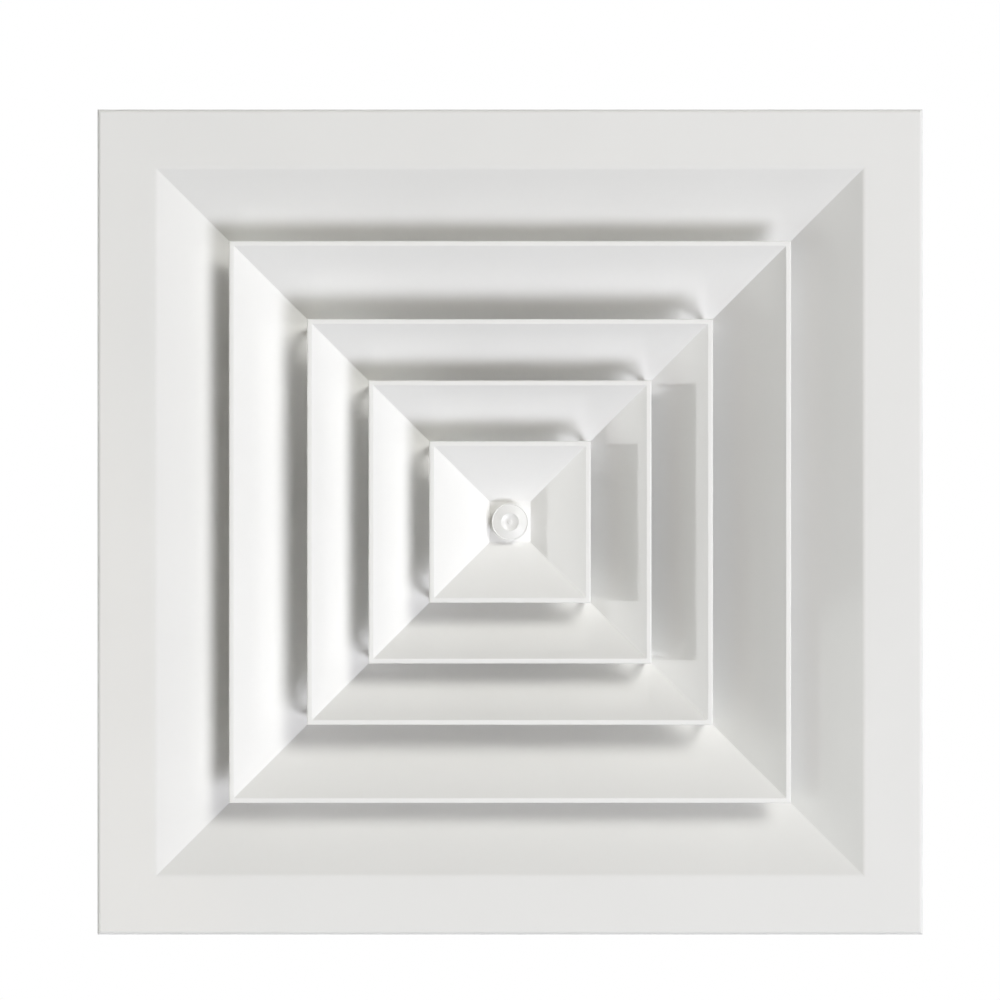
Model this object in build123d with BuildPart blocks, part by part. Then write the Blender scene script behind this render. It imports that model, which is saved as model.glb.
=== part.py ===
"""Square four-way ceiling air diffuser with a removable core and an opposed-blade damper.

Millimetres. +Z points up, away from the room. The origin is the centre of the frame's bearing plane
against the ceiling; the room is below it, the duct neck above it.
"""
from build123d import *
from math import pi, radians, sin, tan
import os

# Outer frame
frame_size = 595.0          # fits a 600 mm ceiling grid
face_depth = 8.0            # visible face below the bearing plane
frame_wall = 2.5
rim_radius = 3.0            # rounding of the flange's outer edge
mouth_size = 510.0          # inner edge of the flange
mouth_radius = 5.0
throat_radius = 3.0
frame_slope = 30.0          # degrees from the ceiling plane
neck_size = 360.0           # outside
neck_top = 115.0
neck_hole_radius = 2.1
neck_hole_spacing = 240.0
neck_hole_z = 52.0

# Foam gasket behind the flange
gasket_outer = 285.0        # half sizes
gasket_inner = 270.0

# Core cones: outer lip size, slope in degrees, height of the upper edge, half size to the posts
ring_sizes = [405.0, 292.5, 204.0]
ring_slopes = [38.0, 41.0, 42.0]
ring_tops = [40.8, 34.8, 37.7]
lip_width = 3.5
lip_side = 1.5              # upright edge round the outside of a lip
lip_radius = 1.2            # rounding of its outer edge
lip_inner_radius = 0.4
post_inset = 5.0            # post centre outside the ring's upper edge
post_radius = 4.5
leg_size = 3.0              # upright legs behind the lip corners, on the cone around them
leg_inset = 0.5
leg_fit = 0.1
centre_size = 116.5
centre_slope = 38.0
flat_size = 30.0
flat_wall = 2.5
boss_radius = 10.0
collar_radius = 11.0
collar_height = 3.0
collar_wall = 1.5

# Spider that carries the cones
spider_z = 44.0
spider_base = 3.0
arm_width = 16.0
arm_rib = 2.0
arm_overhang = 7.0          # arm end beyond the outer post
rib_top = 51.5
hub_radius = 22.0

# Fixing across the neck
bar_z = 52.0                # underside, and top of the spider's hub
bar_thickness = 3.0
bar_width = 25.0
bar_tab = 12.0
bar_screw_z = 46.0
bar_screw_y = 6.5
wall_gap = 0.1              # bar and screws inside the neck
nut_flats = 10.0
nut_height = 5.0
centre_screw_radius = 3.0
centre_screw_top = 63.0
centre_bore = 3.2
nut_bore = 3.05
washer_radius = 8.0
washer_thickness = 1.2
centre_head_radius = 6.0
centre_head = 4.0
centre_head_rounding = 1.5
centre_key = 5.0            # hexagon socket across its flats
centre_key_depth = 2.5

# Cap over the centre screw
cap_radius = 13.4
cap_height = 8.5
cap_wall = 1.6
cap_crown = 1.6             # rise of the front from its edge to the recess
cap_recess_radius = 6.5
cap_recess = 1.5
cap_pip_radius = 1.6
cap_pip = 0.6
cap_bead = 0.8              # raised ring round the edge
cap_fit = 0.05
cap_clearance = 0.5         # over the collar's end

# Self-tapping screws
tap_radius = 1.75
tap_head_radius = 3.5
tap_head = 2.0
tap_head_rounding = 0.8
cross_length = 3.6          # cross recess in the head
cross_width = 0.8
cross_depth = 1.1
ring_screw_length = 9.0     # depth of the pilot hole, from the head's seat
ring_screw_gap = 0.5        # screw's end to the bottom of its hole
tap_hole = 1.77
clear_hole = 2.1

# Opposed-blade damper
damper_half = 177.0
damper_bottom = 61.5
damper_top = 112.5
rail_wall = 1.5
rail_flange = 8.0
gear_rail_y = -167.0        # inner face of the gear rail's web
axis_z = 87.0
blade_count = 8
blade_pitch = 43.5
blade_width = 42.6
blade_wall = 1.5
blade_bead = 1.1
shaft_radius = 4.0
shaft_hub = 4.5             # tube along the blade that the shaft runs in
shaft_end_gap = 0.2
blade_back = 172.5          # blade's end at the plain rail
blade_front = -161.0        # blade's end at the gear rail
bush_radius = 6.0
bush_flange_radius = 7.5
bush_flange = 1.5
shaft_fit = 0.05
press_gap = 0.02
gear_teeth = 24
gear_front = -174.5
gear_width = 5.0
gear_web_circle = 11.5      # lightening holes
gear_web_hole = 3.2
gear_web_count = 6
lever_blade = 4
lever_back = -162.5
lever_wall = 2.0
lever_length = 32.0
lever_width = 10.0
lever_boss = 8.0
lever_hole = 1.6
lever_sweep = 48.0          # length of the notch it swings through
bracket_leg = 12.0
bracket_wall = 1.2
bracket_height = 44.0
rivet_radius = 1.5
rivet_head_radius = 2.8
rivet_head = 1.0
rivet_drop = 17.0           # rivets above and below the blade axis
damper_screw_y = 60.0
pillar_radius = 3.5
pillar_rise = 20.0          # pillars above and below the blade axis
cover_screw_length = 8.0

# Worked-out sizes
face_z = -face_depth
plate_z = face_z + frame_wall
neck_inner = neck_size / 2 - frame_wall
blade_shift = (blade_count - 1) / 2
blade_x = [(i - blade_shift) * blade_pitch for i in range(blade_count)]
gear_pitch_radius = blade_pitch / 2
gear_module = blade_pitch / gear_teeth
rivet_inset = bracket_leg - 3.5
bracket_rivets = [side * (damper_half - rail_wall - rivet_inset) for side in (-1, 1)]
side_rivets_y = [gear_rail_y + rivet_inset, damper_half - rail_wall - rivet_inset]
cover_screw_places = [
    (column * 3 * blade_pitch, axis_z + sign * pillar_rise) for column in (-1, 0, 1) for sign in (-1, 1)
]


def finish(part, name):
    """Label a finished piece and write it."""
    part.label = name
    export_step(part, f"parts/{name}.step")


def square_path(half):
    """Square path in the bearing plane, from the middle of its -Y side."""
    with BuildLine() as path:
        Polyline((0, -half), (half, -half), (half, half), (-half, half), (-half, -half), (0, -half))
    return path.line


def square_ring(outline, half, radii):
    """Solid with this cross-section all round a square; radii maps outline points to their rounding."""
    with BuildPart() as ring:
        with BuildSketch(Plane.YZ) as section:
            with BuildLine():
                Polyline(*[(-distance, z) for distance, z in outline], close=True)
            make_face()
            for point, radius in radii.items():
                corner = (-point[0], point[1], 0)
                fillet(section.vertices().sort_by_distance(corner)[0], radius)
        sweep(path=square_path(half), transition=Transition.RIGHT)
    return ring.part


def side_plane(x, y):
    """Plane whose normal points to -Y, at a blade's axis."""
    return Plane(origin=(x, y, axis_z), x_dir=(1, 0, 0), z_dir=(0, -1, 0))


def post_places(half):
    return [(half, half), (-half, half), (-half, -half), (half, -half)]


def rise(slope):
    return tan(radians(slope))


def ring_top_half(index):
    """Half size of a ring's upper edge, on its outside."""
    climb = ring_tops[index] - face_z - lip_side
    return ring_sizes[index] / 2 - climb / rise(ring_slopes[index])


post_halves = [ring_top_half(i) + post_inset for i in range(len(ring_sizes))]


def corner_legs(half, around):
    """Upright legs behind the lip corners of a cone, cut off by the slope of the ring around it."""
    inner_half = ring_sizes[around] / 2 - lip_width
    inner_top = inner_half - (ring_tops[around] - face_z) / rise(ring_slopes[around])
    with BuildPart() as legs:
        with BuildSketch(Plane.XY.offset(face_z + lip_side)):
            with Locations(*post_places(half - leg_inset - leg_size / 2)):
                Rectangle(leg_size, leg_size)
        extrude(amount=ring_tops[around] - face_z)
        with BuildSketch(Plane.XY.offset(face_z - leg_fit)):
            Rectangle(2 * inner_half, 2 * inner_half)
        with BuildSketch(Plane.XY.offset(ring_tops[around] - leg_fit)):
            Rectangle(2 * inner_top, 2 * inner_top)
        loft(mode=Mode.INTERSECT)
    return legs.part


def make_outer_frame():
    half = frame_size / 2
    mouth = mouth_size / 2
    slope = rise(frame_slope)
    back = mouth + frame_wall / sin(radians(frame_slope))
    throat_z = face_z + (mouth - neck_inner) * slope
    shoulder_z = face_z + (back - neck_size / 2) * slope
    outline = [
        (half, 0), (half, face_z), (mouth, face_z), (neck_inner, throat_z), (neck_inner, neck_top),
        (neck_size / 2, neck_top), (neck_size / 2, shoulder_z), (back - frame_wall / slope, plate_z),
        (half - frame_wall, plate_z), (half - frame_wall, 0),
    ]
    rounding = {
        (half, face_z): rim_radius, (mouth, face_z): mouth_radius, (neck_inner, throat_z): throat_radius,
    }
    with BuildPart() as frame:
        add(square_ring(outline, mouth, rounding))
        # fixing holes for a plenum box or duct collar, in the two Y sides
        with Locations((0, 0, neck_hole_z)):
            with GridLocations(neck_hole_spacing, 0, 2, 1):
                Cylinder(neck_hole_radius, neck_size + 10, rotation=(90, 0, 0), mode=Mode.SUBTRACT)
        # pilot holes for the cross bar and the damper, in the two X sides
        with Locations((0, 0, bar_screw_z)):
            with GridLocations(0, 2 * bar_screw_y, 1, 2):
                Cylinder(tap_hole, neck_size + 10, rotation=(0, 90, 0), mode=Mode.SUBTRACT)
        with Locations((0, 0, axis_z + rivet_drop)):
            with GridLocations(0, 2 * damper_screw_y, 1, 2):
                Cylinder(tap_hole, neck_size + 10, rotation=(0, 90, 0), mode=Mode.SUBTRACT)
    finish(frame.part, "outer_frame")


def make_gasket():
    outline = [(gasket_outer, plate_z), (gasket_outer, 0), (gasket_inner, 0), (gasket_inner, plate_z)]
    gasket = square_ring(outline, gasket_outer, {})
    finish(gasket, "ceiling_gasket")


def make_ring_cone(index):
    half = ring_sizes[index] / 2
    top = ring_tops[index]
    inner_half = half - lip_width
    inner_top = inner_half - (top - face_z) / rise(ring_slopes[index])
    outline = [
        (half, face_z), (inner_half, face_z), (inner_top, top), (ring_top_half(index), top),
        (half, face_z + lip_side),
    ]
    rounding = {(half, face_z): lip_radius, (inner_half, face_z): lip_inner_radius}
    post_half = post_halves[index]
    with BuildPart() as cone:
        with BuildSketch(Plane.XY.offset(face_z + 1)):
            with Locations(*post_places(post_half)):
                Circle(post_radius)
        extrude(amount=spider_z - face_z - 1)
        # the posts start inside the wall: the hollow under the cone cuts them off
        with BuildSketch(Plane.XY.offset(face_z)):
            Rectangle(2 * inner_half, 2 * inner_half)
        with BuildSketch(Plane.XY.offset(top)):
            Rectangle(2 * inner_top, 2 * inner_top)
        loft(mode=Mode.SUBTRACT)
        add(square_ring(outline, half, rounding))
        if index > 0:
            add(corner_legs(half, index - 1))
        with BuildSketch(Plane.XY.offset(spider_z)):
            with Locations(*post_places(post_half)):
                Circle(tap_hole)
        extrude(amount=spider_base - ring_screw_length, mode=Mode.SUBTRACT)
    finish(cone.part, f"ring_cone_{index + 1}")


def make_centre_cone():
    half = centre_size / 2
    slope = rise(centre_slope)
    inner_half = half - lip_width
    flat_z = face_z + (inner_half - flat_size / 2) * slope
    back_z = flat_z + flat_wall
    back_half = half - (back_z - face_z - lip_side) / slope
    with BuildPart() as cone:
        with BuildSketch(Plane.XY.offset(face_z)):
            Rectangle(centre_size, centre_size)
        extrude(amount=lip_side)
        with BuildSketch(Plane.XY.offset(face_z + lip_side)):
            Rectangle(centre_size, centre_size)
        with BuildSketch(Plane.XY.offset(back_z)):
            Rectangle(2 * back_half, 2 * back_half)
        loft()
        with BuildSketch(Plane.XY.offset(face_z)):
            Rectangle(2 * inner_half, 2 * inner_half)
        with BuildSketch(Plane.XY.offset(flat_z)):
            Rectangle(flat_size, flat_size)
        loft(mode=Mode.SUBTRACT)
        lip_edges = cone.faces().filter_by(Plane.XY).sort_by(Axis.Z)[0].edges().sort_by(SortBy.LENGTH)
        fillet(lip_edges[4:], lip_radius)
        add(corner_legs(half, len(ring_sizes) - 1))
        # boss up to the spider's hub
        with BuildSketch(Plane.XY.offset(back_z)):
            Circle(boss_radius)
        extrude(amount=spider_z - back_z)
        # collar that the cap grips
        with BuildSketch(Plane.XY.offset(flat_z)):
            Circle(collar_radius)
            Circle(collar_radius - collar_wall, mode=Mode.SUBTRACT)
        extrude(amount=-collar_height)
        with BuildSketch(Plane.XY.offset(face_z)):
            Circle(centre_bore)
        extrude(amount=spider_z - face_z, mode=Mode.SUBTRACT)
    finish(cone.part, "centre_cone")
    return flat_z


def make_spider():
    reach = post_halves[0] * 2 ** 0.5 + arm_overhang
    with BuildPart() as spider:
        with BuildSketch(Plane.XY.offset(spider_z)):
            for angle in (45, -45):
                Rectangle(2 * reach, arm_width, rotation=angle)
        extrude(amount=spider_base)
        with BuildSketch(Plane.XY.offset(spider_z)):
            for angle in (45, -45):
                Rectangle(2 * reach, arm_width, rotation=angle)
            for angle in (45, -45):
                Rectangle(2 * (reach - arm_rib), arm_width - 2 * arm_rib, rotation=angle, mode=Mode.SUBTRACT)
        extrude(amount=rib_top - spider_z)
        with BuildSketch(Plane.XY.offset(spider_z)):
            Circle(hub_radius)
        extrude(amount=bar_z - spider_z)
        with BuildSketch(Plane.XY.offset(spider_z)):
            Circle(centre_bore)
            for half in post_halves:
                with Locations(*post_places(half)):
                    Circle(clear_hole)
        extrude(amount=bar_z - spider_z, mode=Mode.SUBTRACT)
    finish(spider.part, "spider")


def make_ring_screws(index):
    seat = spider_z + spider_base
    places = post_places(post_halves[index])
    with BuildPart() as screws:
        with BuildSketch(Plane.XY.offset(seat)):
            with Locations(*places):
                Circle(tap_radius)
        extrude(amount=ring_screw_gap - ring_screw_length)
        with BuildSketch(Plane.XY.offset(seat)):
            with Locations(*places):
                Circle(tap_head_radius)
        extrude(amount=tap_head)
        rims = screws.faces().sort_by(Axis.Z).group_by(Axis.Z)[-1].edges()
        fillet(rims, tap_head_rounding)
        with BuildSketch(Plane.XY.offset(seat + tap_head)):
            with Locations(*places):
                Rectangle(cross_length, cross_width)
                Rectangle(cross_width, cross_length)
        extrude(amount=-cross_depth, mode=Mode.SUBTRACT)
    finish(screws.part, f"ring_{index + 1}_screws")


def make_centre_fixing(flat_z):
    with BuildPart() as washer:
        with BuildSketch(Plane.XY.offset(flat_z)):
            Circle(washer_radius)
            Circle(centre_bore, mode=Mode.SUBTRACT)
        extrude(amount=-washer_thickness)
    finish(washer.part, "centre_washer")

    head_z = flat_z - washer_thickness
    with BuildPart() as screw:
        with BuildSketch(Plane.XY.offset(head_z)):
            Circle(centre_head_radius)
        extrude(amount=-centre_head)
        fillet(screw.faces().sort_by(Axis.Z)[0].edges(), centre_head_rounding)
        with BuildSketch(Plane.XY.offset(head_z)):
            Circle(centre_screw_radius)
        extrude(amount=centre_screw_top - head_z)
        chamfer(screw.faces().sort_by(Axis.Z)[-1].edges(), 0.6)
        with BuildSketch(Plane.XY.offset(head_z - centre_head)):
            RegularPolygon(centre_key / 2, 6, major_radius=False)
        extrude(amount=centre_key_depth, mode=Mode.SUBTRACT)
    finish(screw.part, "centre_screw")

    front_z = flat_z - cap_height
    rim_z = front_z + cap_crown
    collar_z = flat_z - collar_height - cap_clearance
    recess_z = front_z + cap_recess
    bead = cap_radius - cap_bead
    bore = collar_radius + cap_fit
    with BuildPart() as cap:
        with BuildSketch(Plane.XZ):
            with BuildLine():
                Polyline((0, collar_z), (bore, collar_z), (bore, flat_z), (cap_radius, flat_z),
                         (cap_radius, rim_z))
                ThreePointArc((cap_radius, rim_z), (cap_radius - cap_bead / 2, rim_z - cap_bead / 2),
                              (bead, rim_z))
                Line((bead, rim_z), (cap_recess_radius, front_z))
                ThreePointArc((cap_recess_radius, front_z), (cap_recess_radius * 0.62, recess_z - 0.3),
                              (cap_pip_radius, recess_z))
                Polyline((cap_pip_radius, recess_z), (cap_pip_radius, recess_z - cap_pip),
                         (0, recess_z - cap_pip), (0, collar_z))
            make_face()
        revolve(axis=Axis.Z)
        # the smallest circle is the bead's own section, the next is the pip's
        pip_edge = cap.edges().filter_by(GeomType.CIRCLE).group_by(SortBy.RADIUS)[1].sort_by(Axis.Z)[0]
        fillet(pip_edge, cap_pip / 2)
        with BuildSketch(Plane.XY.offset(collar_z)):
            Circle(collar_radius - collar_wall)
        extrude(amount=cap_wall + recess_z - collar_z, mode=Mode.SUBTRACT)
    finish(cap.part, "centre_cap")


def make_cross_bar():
    end = neck_inner - wall_gap
    top = bar_z + bar_thickness
    with BuildPart() as bar:
        with BuildSketch(Plane.XZ.offset(-bar_width / 2)):
            with BuildLine():
                Polyline(
                    (-end, top), (end, top), (end, bar_z - bar_tab), (end - bar_thickness, bar_z - bar_tab),
                    (end - bar_thickness, bar_z), (bar_thickness - end, bar_z),
                    (bar_thickness - end, bar_z - bar_tab), (-end, bar_z - bar_tab), close=True)
            make_face()
        extrude(amount=bar_width)
        corners = bar.edges().filter_by(Axis.Y).group_by(Axis.Z)[-1]
        fillet(corners, 2.0)
        with Locations((0, 0, bar_z)):
            Cylinder(centre_bore, 4 * bar_thickness, mode=Mode.SUBTRACT)
        with Locations((0, 0, bar_screw_z)):
            with GridLocations(0, 2 * bar_screw_y, 1, 2):
                Cylinder(clear_hole, 2 * end + 10, rotation=(0, 90, 0), mode=Mode.SUBTRACT)
    finish(bar.part, "cross_bar")

    with BuildPart() as nut:
        with BuildSketch(Plane.XY.offset(top)):
            RegularPolygon(nut_flats / 2, 6, major_radius=False)
            Circle(nut_bore, mode=Mode.SUBTRACT)
        extrude(amount=nut_height)
    finish(nut.part, "cross_bar_nut")


def make_side_screws(name, seat_x, z, y):
    """Screws driven outward through both X sides of the neck, heads inside."""
    with BuildPart() as screws:
        for side in (1, -1):
            normal = Plane(origin=(side * seat_x, 0, z), x_dir=(0, 1, 0), z_dir=(side, 0, 0))
            with BuildSketch(normal):
                with GridLocations(2 * y, 0, 2, 1):
                    Circle(tap_radius)
            extrude(amount=neck_size / 2 - seat_x)
            with BuildSketch(normal):
                with GridLocations(2 * y, 0, 2, 1):
                    Circle(tap_head_radius)
            extrude(amount=-tap_head)
    finish(screws.part, name)


def make_blade(number):
    x = blade_x[number - 1]
    length = blade_back - blade_front
    bead_at = blade_width / 2 - blade_bead
    with BuildPart() as blade:
        with BuildSketch(side_plane(x, blade_back)):
            Rectangle(blade_wall, blade_width - 2 * blade_bead)
            Circle(shaft_hub)
            with Locations((0, bead_at), (0, -bead_at)):
                Circle(blade_bead)
        extrude(amount=length)
        with BuildSketch(side_plane(x, damper_half - shaft_end_gap)):
            Circle(shaft_radius)
        extrude(amount=damper_half - shaft_end_gap - gear_front)
    finish(blade.part, f"blade_{number}")


def make_gear(number):
    """Spur gear on a blade's shaft. Even gears are turned half a tooth so that they mesh."""
    x = blade_x[number - 1]
    root = gear_pitch_radius - 1.15 * gear_module
    tip = gear_pitch_radius + 0.75 * gear_module
    tooth_pitch = 360 / gear_teeth
    start = tooth_pitch / 2 if number % 2 == 0 else 0
    half_root = 0.33 * gear_module * pi
    half_tip = 0.13 * gear_module * pi
    with BuildPart() as gear:
        with BuildSketch(side_plane(x, gear_front + gear_width)):
            Circle(root)
            with PolarLocations(0, gear_teeth, start_angle=start):
                Polygon((root - 0.5, -half_root), (tip, -half_tip), (tip, half_tip), (root - 0.5, half_root),
                        align=None)
            Circle(shaft_radius + press_gap, mode=Mode.SUBTRACT)
            with PolarLocations(gear_web_circle, gear_web_count, start_angle=30):
                Circle(gear_web_hole, mode=Mode.SUBTRACT)
        extrude(amount=gear_width)
    finish(gear.part, f"gear_{number}")


def make_bushes(name, inner_y, web_depth):
    """Flanged bushes; inner_y is the web's face towards the blades, web_depth goes into the web."""
    flange = bush_flange if web_depth < 0 else -bush_flange
    with BuildPart() as bushes:
        for x in blade_x:
            with BuildSketch(side_plane(x, inner_y)):
                Circle(bush_radius - press_gap)
                Circle(shaft_radius + shaft_fit, mode=Mode.SUBTRACT)
            extrude(amount=-web_depth)
            with BuildSketch(side_plane(x, inner_y)):
                Circle(bush_flange_radius)
                Circle(shaft_radius + shaft_fit, mode=Mode.SUBTRACT)
            extrude(amount=-flange)
    finish(bushes.part, name)


def end_rail(name, web_y, flange_y, gear_side):
    """Channel along X: web at web_y, flanges turned to flange_y, holes for the bushes."""
    height = damper_top - damper_bottom
    middle_z = (damper_top + damper_bottom) / 2
    outer_y = web_y - rail_wall if flange_y > web_y else web_y + rail_wall
    depth = abs(flange_y - outer_y)
    with BuildPart() as rail:
        with Locations((0, (outer_y + flange_y) / 2, middle_z)):
            Box(2 * damper_half, depth, height)
        with Locations((0, (web_y + flange_y) / 2, middle_z)):
            Box(2 * damper_half + 1, abs(flange_y - web_y), height - 2 * rail_wall, mode=Mode.SUBTRACT)
        for x in blade_x:
            with Locations((x, web_y, axis_z)):
                Cylinder(bush_radius, 4 * rail_wall, rotation=(90, 0, 0), mode=Mode.SUBTRACT)
        for x in bracket_rivets:
            for z in (axis_z - rivet_drop, axis_z + rivet_drop):
                with Locations((x, web_y, z)):
                    Cylinder(rivet_radius + press_gap, 4 * rail_wall, rotation=(90, 0, 0), mode=Mode.SUBTRACT)
        if gear_side:
            for x, z in cover_screw_places:
                with Locations((x, web_y, z)):
                    Cylinder(clear_hole, 4 * rail_wall, rotation=(90, 0, 0), mode=Mode.SUBTRACT)
            # the lever swings through a notch in the lower flange
            notch_x = blade_x[lever_blade - 1] + lever_sweep / 2 - lever_width
            with Locations((notch_x, flange_y, damper_bottom)):
                Box(lever_sweep, 2 * rail_flange - 1, 3 * rail_wall, mode=Mode.SUBTRACT)
    finish(rail.part, name)


def side_rail(name, side):
    """Channel along Y between the end rails' webs; its flanges stop short of theirs."""
    height = damper_top - damper_bottom
    middle_z = (damper_top + damper_bottom) / 2
    start = gear_rail_y
    stop = damper_half - rail_wall
    web_x = side * (damper_half - rail_wall / 2)
    flange_x = side * (damper_half - rail_wall - rail_flange / 2)
    with BuildPart() as rail:
        with Locations((web_x, (start + stop) / 2, middle_z)):
            Box(rail_wall, stop - start, height - 2 * rail_wall)
        with Locations((web_x, (start + stop) / 2, middle_z)):
            Box(rail_wall, stop - start - 2 * rail_flange - 1, height)
        for z in (damper_bottom + rail_wall / 2, damper_top - rail_wall / 2):
            with Locations((flange_x, (start + stop) / 2, z)):
                Box(rail_flange, stop - start - 2 * rail_flange - 1, rail_wall)
        for y in (-damper_screw_y, damper_screw_y):
            with Locations((web_x, y, axis_z + rivet_drop)):
                Cylinder(clear_hole, 4 * rail_wall, rotation=(0, 90, 0), mode=Mode.SUBTRACT)
        for y in side_rivets_y:
            for z in (axis_z - rivet_drop, axis_z + rivet_drop):
                with Locations((web_x, y, z)):
                    Cylinder(rivet_radius + press_gap, 4 * rail_wall, rotation=(0, 90, 0), mode=Mode.SUBTRACT)
    finish(rail.part, name)


def make_brackets():
    """L brackets inside the damper's four corners, and the rivets through them."""
    inner_x = damper_half - rail_wall
    plain_y = damper_half - rail_wall
    low = axis_z - bracket_height / 2
    hole = rivet_radius + press_gap
    with BuildPart() as brackets:
        with BuildSketch(Plane.XY.offset(low)):
            for side in (-1, 1):
                for corner_y, turn in ((plain_y, -1), (gear_rail_y, 1)):
                    with BuildLine():
                        Polyline(
                            (side * inner_x, corner_y),
                            (side * inner_x, corner_y + turn * bracket_leg),
                            (side * (inner_x - bracket_wall), corner_y + turn * bracket_leg),
                            (side * (inner_x - bracket_wall), corner_y + turn * bracket_wall),
                            (side * (inner_x - bracket_leg), corner_y + turn * bracket_wall),
                            (side * (inner_x - bracket_leg), corner_y), close=True)
                    make_face()
        extrude(amount=bracket_height)
        for z in (axis_z - rivet_drop, axis_z + rivet_drop):
            for x in bracket_rivets:
                with Locations((x, 0, z)):
                    Cylinder(hole, 2 * damper_half, rotation=(90, 0, 0), mode=Mode.SUBTRACT)
            for y in side_rivets_y:
                with Locations((0, y, z)):
                    Cylinder(hole, 2 * damper_half, rotation=(0, 90, 0), mode=Mode.SUBTRACT)
    finish(brackets.part, "damper_corner_brackets")

    rivet_lines = []
    for z in (axis_z - rivet_drop, axis_z + rivet_drop):
        for x in bracket_rivets:
            rivet_lines.append(((x, plain_y - bracket_wall, z), (0, 1, 0)))
            rivet_lines.append(((x, gear_rail_y + bracket_wall, z), (0, -1, 0)))
        for y in side_rivets_y:
            for side in (-1, 1):
                rivet_lines.append(((side * (inner_x - bracket_wall), y, z), (side, 0, 0)))
    with BuildPart() as rivets:
        for head_place, direction in rivet_lines:
            plane = Plane(origin=head_place, x_dir=(0, 0, 1), z_dir=direction)
            with BuildSketch(plane):
                Circle(rivet_radius)
            extrude(amount=rail_wall + bracket_wall)
            with BuildSketch(plane):
                Circle(rivet_head_radius)
            extrude(amount=-rivet_head)
    finish(rivets.part, "damper_corner_rivets")


def make_gear_cover():
    height = damper_top - damper_bottom
    middle_z = (damper_top + damper_bottom) / 2
    back = gear_rail_y - rail_wall
    depth = damper_half + back
    middle_y = (back - damper_half) / 2
    with BuildPart() as cover:
        with Locations((0, middle_y, middle_z)):
            Box(2 * damper_half, depth, height)
        with Locations((0, middle_y + rail_wall / 2, middle_z)):
            Box(2 * (damper_half - rail_wall), depth - rail_wall, height - 2 * rail_wall, mode=Mode.SUBTRACT)
        # pillars between the gears take the screws
        for x, z in cover_screw_places:
            with BuildSketch(Plane(origin=(x, back, z), x_dir=(1, 0, 0), z_dir=(0, -1, 0))):
                Circle(pillar_radius)
            extrude(amount=depth - rail_wall)
        for x, z in cover_screw_places:
            with BuildSketch(Plane(origin=(x, back, z), x_dir=(1, 0, 0), z_dir=(0, -1, 0))):
                Circle(tap_hole)
            extrude(amount=depth - rail_wall, mode=Mode.SUBTRACT)
    finish(cover.part, "damper_gear_cover")

    with BuildPart() as screws:
        for x, z in cover_screw_places:
            seat = Plane(origin=(x, gear_rail_y, z), x_dir=(1, 0, 0), z_dir=(0, -1, 0))
            with BuildSketch(seat):
                Circle(tap_radius)
            extrude(amount=cover_screw_length)
            with BuildSketch(seat):
                Circle(tap_head_radius)
            extrude(amount=-tap_head)
    finish(screws.part, "damper_cover_screws")


def make_lever():
    x = blade_x[lever_blade - 1]
    with BuildPart() as lever:
        with BuildSketch(side_plane(x, lever_back)):
            Circle(lever_boss)
            with Locations((0, -lever_length / 2)):
                Rectangle(lever_width, lever_length)
            with Locations((0, -lever_length)):
                Circle(lever_width / 2)
                Circle(lever_hole, mode=Mode.SUBTRACT)
            Circle(shaft_radius + press_gap, mode=Mode.SUBTRACT)
        extrude(amount=lever_wall)
    finish(lever.part, "damper_lever")


os.makedirs("parts", exist_ok=True)
make_outer_frame()
make_gasket()
for ring in range(len(ring_sizes)):
    make_ring_cone(ring)
    make_ring_screws(ring)
make_centre_fixing(make_centre_cone())
make_spider()
make_cross_bar()
make_side_screws("cross_bar_screws", neck_inner - wall_gap - bar_thickness, bar_screw_z, bar_screw_y)
make_side_screws("damper_fixing_screws", damper_half - rail_wall, axis_z + rivet_drop, damper_screw_y)
for blade_number in range(1, blade_count + 1):
    make_blade(blade_number)
    make_gear(blade_number)
make_bushes("plain_bushes", damper_half - rail_wall, rail_wall)
make_bushes("gear_bushes", gear_rail_y, -rail_wall)
end_rail("damper_rail_plain", damper_half - rail_wall, damper_half - rail_wall - rail_flange, False)
end_rail("damper_rail_gear", gear_rail_y, gear_rail_y + rail_flange, True)
side_rail("damper_rail_left", -1)
side_rail("damper_rail_right", 1)
make_brackets()
make_gear_cover()
make_lever()
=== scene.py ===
"""Looks of the ceiling air diffuser: white moulded plastic, studio light from below, camera looking up."""
import math

import bpy
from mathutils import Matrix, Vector


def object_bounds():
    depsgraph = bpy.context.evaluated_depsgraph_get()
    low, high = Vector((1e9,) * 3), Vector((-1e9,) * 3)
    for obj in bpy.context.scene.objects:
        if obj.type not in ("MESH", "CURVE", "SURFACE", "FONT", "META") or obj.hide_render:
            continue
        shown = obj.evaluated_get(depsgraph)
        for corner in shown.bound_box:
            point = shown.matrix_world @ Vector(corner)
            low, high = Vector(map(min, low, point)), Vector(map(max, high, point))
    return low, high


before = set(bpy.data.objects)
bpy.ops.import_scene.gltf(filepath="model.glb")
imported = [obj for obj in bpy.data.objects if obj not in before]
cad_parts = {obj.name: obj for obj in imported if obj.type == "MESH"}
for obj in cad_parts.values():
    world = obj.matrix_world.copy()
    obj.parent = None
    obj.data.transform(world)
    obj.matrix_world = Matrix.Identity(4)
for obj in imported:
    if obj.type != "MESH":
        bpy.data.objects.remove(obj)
cad_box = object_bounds()
scene = bpy.context.scene

# Directions as the camera sees them: right is +X, down is +Y, away is +Z
CAMERA_DISTANCE = 1.90
FIELD = 0.7203              # width of the view in the face plane
SHIFT = (-0.010, 0.022)     # the face sits a little low and right of centre
FLOOR_Z = -7.0
FLOOR_SIZE = 30.0
SENSOR_WIDTH = 36.0

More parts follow.
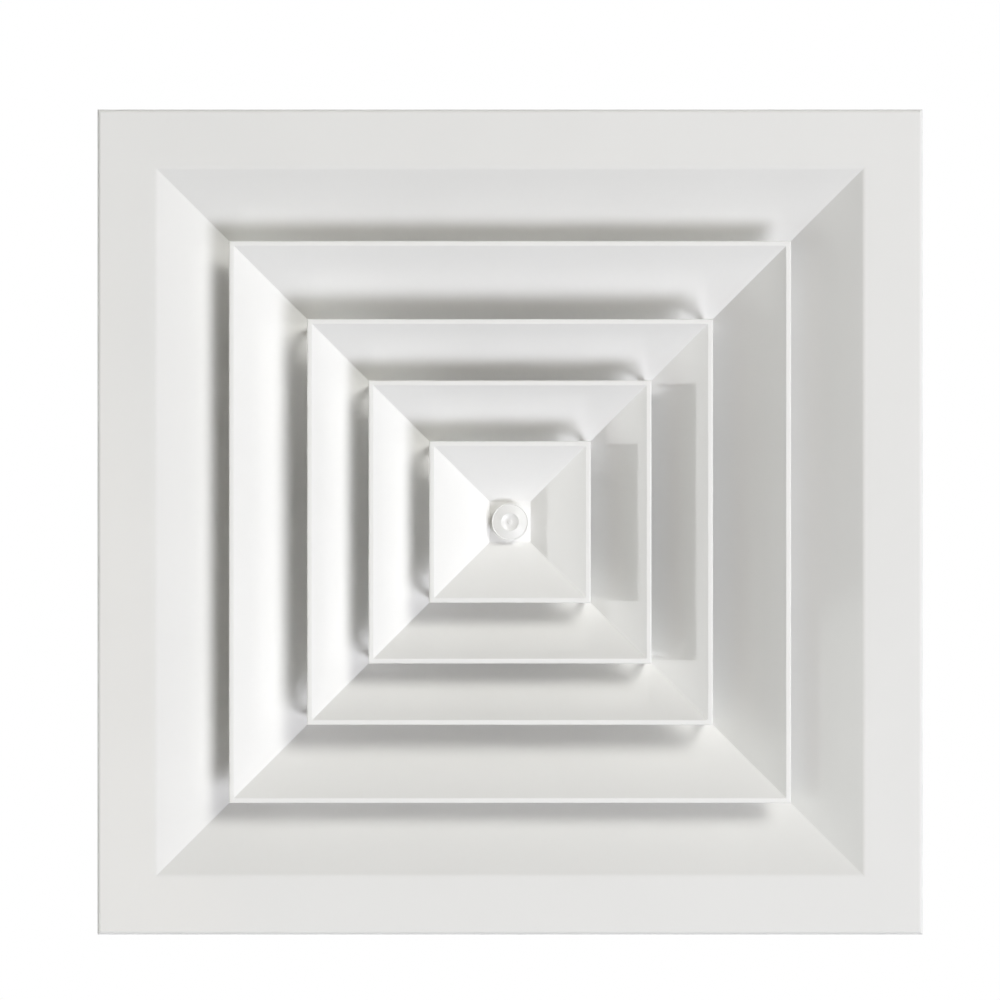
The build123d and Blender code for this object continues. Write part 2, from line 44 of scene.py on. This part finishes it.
# Procedural textures: noise scales are per metre, bump depths in metres
CLOUD_SCALE = 9.0
GRAIN_SCALE = 1400.0
WAVE_SCALE = 16.0
WAVE_DEPTH = 0.0005
FINE_GRAIN = 0.00002
COARSE_GRAIN = 0.00006
STREAK_SCALE = 900.0
STREAK_STRETCH = 0.02       # how much coarser a streak is along its length
STREAK_DEPTH = 0.00003
CELL_SCALE = 900.0
CELL_DEPTH = 0.0004

# The four lights for the back: distance, side and power
BACK_DISTANCE = 3.6
BACK_SIZE = 1.8
BACK_POWER = 46.0

# Sky brightness by height, from straight below (0) through the horizon (0.5) to overhead (1)
SKY = ((0.50, 0.02), (0.56, 0.40), (0.66, 0.35), (0.78, 0.12))


def new_material(name):
    """Empty material with one shader joined to its output."""
    material = bpy.data.materials.new(name)
    material.use_nodes = True
    tree = material.node_tree
    tree.nodes.clear()
    output = tree.nodes.new("ShaderNodeOutputMaterial")
    shader = tree.nodes.new("ShaderNodeBsdfPrincipled")
    tree.links.new(shader.outputs["BSDF"], output.inputs["Surface"])
    return material, tree, shader


def moulded_plastic(name, colour, shade, roughness, grain=FINE_GRAIN):
    """Moulded plastic: cloudy tone, slightly uneven gloss, faint flow waviness and fine grain."""
    material, tree, shader = new_material(name)
    nodes, links = tree.nodes, tree.links
    place = nodes.new("ShaderNodeNewGeometry")
    cloud = nodes.new("ShaderNodeTexNoise")
    cloud.inputs["Scale"].default_value = CLOUD_SCALE
    cloud.inputs["Detail"].default_value = 3.0
    links.new(place.outputs["Position"], cloud.inputs["Vector"])
    tone = nodes.new("ShaderNodeValToRGB")
    tone.color_ramp.elements[0].position = 0.30
    tone.color_ramp.elements[1].position = 0.70
    tone.color_ramp.elements[0].color = (*shade, 1)
    tone.color_ramp.elements[1].color = (*colour, 1)
    links.new(cloud.outputs["Fac"], tone.inputs["Fac"])
    links.new(tone.outputs["Color"], shader.inputs["Base Color"])
    gloss = nodes.new("ShaderNodeMapRange")
    gloss.inputs["To Min"].default_value = roughness * 0.85
    gloss.inputs["To Max"].default_value = roughness * 1.25
    links.new(cloud.outputs["Fac"], gloss.inputs["Value"])
    links.new(gloss.outputs["Result"], shader.inputs["Roughness"])
    fine = nodes.new("ShaderNodeTexNoise")
    fine.inputs["Scale"].default_value = GRAIN_SCALE
    fine.inputs["Detail"].default_value = 2.0
    links.new(place.outputs["Position"], fine.inputs["Vector"])
    wave = nodes.new("ShaderNodeTexNoise")
    wave.inputs["Scale"].default_value = WAVE_SCALE
    wave.inputs["Detail"].default_value = 1.0
    links.new(place.outputs["Position"], wave.inputs["Vector"])
    low = nodes.new("ShaderNodeBump")
    low.inputs["Distance"].default_value = WAVE_DEPTH
    low.inputs["Strength"].default_value = 0.5
    links.new(wave.outputs["Fac"], low.inputs["Height"])
    bump = nodes.new("ShaderNodeBump")
    bump.inputs["Distance"].default_value = grain
    bump.inputs["Strength"].default_value = 0.5
    links.new(fine.outputs["Fac"], bump.inputs["Height"])
    links.new(low.outputs["Normal"], bump.inputs["Normal"])
    links.new(bump.outputs["Normal"], shader.inputs["Normal"])
    shader.inputs["IOR"].default_value = 1.5
    return material


def brushed_metal(name, colour, shade, roughness, along):
    """Rolled or extruded metal with fine lines along one axis."""
    material, tree, shader = new_material(name)
    nodes, links = tree.nodes, tree.links
    place = nodes.new("ShaderNodeNewGeometry")
    stretch = nodes.new("ShaderNodeMapping")
    stretch.inputs["Scale"].default_value = [
        STREAK_SCALE * (STREAK_STRETCH if i == along else 1.0) for i in range(3)]
    links.new(place.outputs["Position"], stretch.inputs["Vector"])
    lines = nodes.new("ShaderNodeTexNoise")
    lines.inputs["Scale"].default_value = 1.0
    lines.inputs["Detail"].default_value = 3.0
    links.new(stretch.outputs["Vector"], lines.inputs["Vector"])
    tone = nodes.new("ShaderNodeValToRGB")
    tone.color_ramp.elements[0].position = 0.25
    tone.color_ramp.elements[1].position = 0.75
    tone.color_ramp.elements[0].color = (*shade, 1)
    tone.color_ramp.elements[1].color = (*colour, 1)
    links.new(lines.outputs["Fac"], tone.inputs["Fac"])
    links.new(tone.outputs["Color"], shader.inputs["Base Color"])
    gloss = nodes.new("ShaderNodeMapRange")
    gloss.inputs["To Min"].default_value = roughness * 0.8
    gloss.inputs["To Max"].default_value = roughness * 1.3
    links.new(lines.outputs["Fac"], gloss.inputs["Value"])
    links.new(gloss.outputs["Result"], shader.inputs["Roughness"])
    bump = nodes.new("ShaderNodeBump")
    bump.inputs["Distance"].default_value = STREAK_DEPTH
    bump.inputs["Strength"].default_value = 0.6
    links.new(lines.outputs["Fac"], bump.inputs["Height"])
    links.new(bump.outputs["Normal"], shader.inputs["Normal"])
    shader.inputs["Metallic"].default_value = 1.0
    return material


def foam_material():
    """Pale foam with small closed cells."""
    material, tree, shader = new_material("closed_cell_foam")
    nodes, links = tree.nodes, tree.links
    place = nodes.new("ShaderNodeNewGeometry")
    cells = nodes.new("ShaderNodeTexVoronoi")
    cells.inputs["Scale"].default_value = CELL_SCALE
    links.new(place.outputs["Position"], cells.inputs["Vector"])
    tone = nodes.new("ShaderNodeValToRGB")
    tone.color_ramp.elements[0].color = (0.50, 0.50, 0.49, 1)
    tone.color_ramp.elements[1].color = (0.66, 0.66, 0.64, 1)
    links.new(cells.outputs["Distance"], tone.inputs["Fac"])
    links.new(tone.outputs["Color"], shader.inputs["Base Color"])
    bump = nodes.new("ShaderNodeBump")
    bump.inputs["Distance"].default_value = CELL_DEPTH
    links.new(cells.outputs["Distance"], bump.inputs["Height"])
    links.new(bump.outputs["Normal"], shader.inputs["Normal"])
    shader.inputs["Roughness"].default_value = 0.95
    return material


def set_material(names, material):
    for name in names:
        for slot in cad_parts[name].material_slots:
            slot.material = material


frame_white = moulded_plastic("frame_white", (0.88, 0.88, 0.87), (0.865, 0.865, 0.855), 0.055)
core_white = moulded_plastic("core_white", (0.945, 0.945, 0.935), (0.93, 0.93, 0.92), 0.055)
cap_white = moulded_plastic("cap_white", (0.88, 0.88, 0.87), (0.865, 0.865, 0.855), 0.2)
carrier = moulded_plastic("carrier_white", (0.78, 0.78, 0.76), (0.74, 0.74, 0.72), 0.45, grain=COARSE_GRAIN)
nylon = moulded_plastic("grey_nylon", (0.10, 0.10, 0.105), (0.07, 0.07, 0.075), 0.5, grain=COARSE_GRAIN)
black = moulded_plastic("black_anodised", (0.040, 0.040, 0.042), (0.028, 0.028, 0.030), 0.4, grain=0.00005)
sheet = brushed_metal("mill_aluminium", (0.80, 0.81, 0.82), (0.68, 0.69, 0.70), 0.3, along=1)
zinc = brushed_metal("zinc_steel", (0.62, 0.63, 0.65), (0.50, 0.51, 0.53), 0.28, along=0)
foam = foam_material()

blades = [f"blade_{i}" for i in range(1, 9)]
gears = [f"gear_{i}" for i in range(1, 9)]
set_material(["outer_frame"], frame_white)
set_material(["ring_cone_1", "ring_cone_2", "ring_cone_3", "centre_cone"], core_white)
set_material(["centre_cap"], cap_white)
set_material(["spider"], carrier)
set_material(gears + ["plain_bushes", "gear_bushes", "damper_lever"], nylon)
set_material(blades + ["damper_rail_left", "damper_rail_right", "damper_rail_plain", "damper_rail_gear",
                       "damper_gear_cover"], black)
set_material(["damper_corner_brackets", "damper_corner_rivets"], sheet)
set_material(["cross_bar", "cross_bar_nut", "cross_bar_screws", "damper_fixing_screws", "damper_cover_screws",
              "ring_1_screws", "ring_2_screws", "ring_3_screws", "centre_washer", "centre_screw"], zinc)
set_material(["ceiling_gasket"], foam)


def aim(thing, target):
    direction = Vector(target) - thing.location
    thing.rotation_euler = direction.to_track_quat("-Z", "Y").to_euler()


def softbox(name, toward, distance, size, power, colour=(1, 1, 1)):
    """Area light seen from the middle of the face in direction toward."""
    data = bpy.data.lights.new(name, "AREA")
    data.shape = "RECTANGLE"
    data.size, data.size_y = size
    data.energy = power
    data.color = colour
    light = bpy.data.objects.new(name, data)
    light.location = Vector(toward).normalized() * distance
    light.visible_camera = False
    scene.collection.objects.link(light)
    aim(light, (0, 0, 0))
    return light


def studio():
    """Two windows on the right, weak fill from the other sides, and four even lights for the back."""
    softbox("window_near", (0.5, 0.5, -0.72), 6.0, (2.6, 2.6), 215.0, (0.94, 0.945, 1.0))
    softbox("window_far", (0.5, -0.5, -0.72), 8.0, (3.5, 3.5), 340.0, (1.0, 0.998, 0.96))
    softbox("far_fill", (0.0, -0.85, -0.5), 6.0, (5.0, 3.6), 21.0)
    softbox("left_fill", (-0.75, 0.42, -0.5), 2.8, (2.0, 1.8), 15.0, (0.95, 1.0, 0.96))
    softbox("left_steep", (-0.45, 0.1, -0.9), 5.0, (3.0, 3.0), 11.0, (1.0, 0.72, 0.40))
    softbox("low_left", (-0.984, 0.0, -0.178), 3.6, (1.0, 0.95), 10.0)
    for place, toward in (("left", (-0.78, -0.54, 0.50)), ("right", (0.78, 0.54, 0.50)),
                          ("far", (0.54, -0.78, 0.50)), ("near", (-0.54, 0.78, 0.50))):
        back = softbox(f"back_{place}", toward, BACK_DISTANCE, (BACK_SIZE, BACK_SIZE), BACK_POWER)
        back.visible_glossy = False
    world = bpy.data.worlds.new("studio")
    scene.world = world
    world.use_nodes = True
    tree = world.node_tree
    tree.nodes.clear()
    output = tree.nodes.new("ShaderNodeOutputWorld")
    # light from the sky is a band above the ceiling plane, and the camera sees plain white
    place = tree.nodes.new("ShaderNodeTexCoord")
    split = tree.nodes.new("ShaderNodeSeparateXYZ")
    tree.links.new(place.outputs["Generated"], split.inputs["Vector"])
    band = tree.nodes.new("ShaderNodeValToRGB")
    steps = band.color_ramp.elements
    for i, (place_up, bright) in enumerate(SKY):
        step = steps[i] if i < 2 else steps.new(place_up)
        step.position = place_up
        step.color = (bright, bright, bright, 1)
    height = tree.nodes.new("ShaderNodeMapRange")
    height.inputs["From Min"].default_value = -1.0
    height.inputs["From Max"].default_value = 1.0
    tree.links.new(split.outputs["Z"], height.inputs["Value"])
    tree.links.new(height.outputs["Result"], band.inputs["Fac"])
    lit = tree.nodes.new("ShaderNodeBackground")
    tree.links.new(band.outputs["Color"], lit.inputs["Color"])
    seen = tree.nodes.new("ShaderNodeBackground")
    seen.inputs["Color"].default_value = (1, 1, 1, 1)
    path = tree.nodes.new("ShaderNodeLightPath")
    mix = tree.nodes.new("ShaderNodeMixShader")
    tree.links.new(path.outputs["Is Camera Ray"], mix.inputs[0])
    tree.links.new(lit.outputs[0], mix.inputs[1])
    tree.links.new(seen.outputs[0], mix.inputs[2])
    tree.links.new(mix.outputs[0], output.inputs["Surface"])
    scene.view_settings.view_transform = "Standard"
    scene.view_settings.look = "None"


def floor():
    """White floor far below; it glows like the sky behind it and lights nothing."""
    bpy.ops.mesh.primitive_plane_add(size=FLOOR_SIZE, location=(0, 0, FLOOR_Z))
    plane = bpy.context.object
    plane.name = "floor"
    plane.visible_diffuse = False
    plane.visible_glossy = False
    material, tree, shader = new_material("pale_floor")
    shader.inputs["Base Color"].default_value = (0.8, 0.8, 0.8, 1)
    shader.inputs["Roughness"].default_value = 0.9
    shader.inputs["Emission Color"].default_value = (1, 1, 1, 1)
    shader.inputs["Emission Strength"].default_value = 1.0
    plane.data.materials.append(material)


def camera():
    """Camera square on to the face, aligned on the core."""
    data = bpy.data.cameras.new("camera")
    eye = bpy.data.objects.new("camera", data)
    scene.collection.objects.link(eye)
    face_z = cad_box[0][2]
    eye.location = (0, 0, face_z - CAMERA_DISTANCE)
    eye.rotation_euler = (math.pi, 0, 0)
    data.sensor_width = SENSOR_WIDTH
    data.lens = SENSOR_WIDTH * CAMERA_DISTANCE / FIELD
    data.shift_x, data.shift_y = SHIFT
    scene.camera = eye


studio()
floor()
camera()
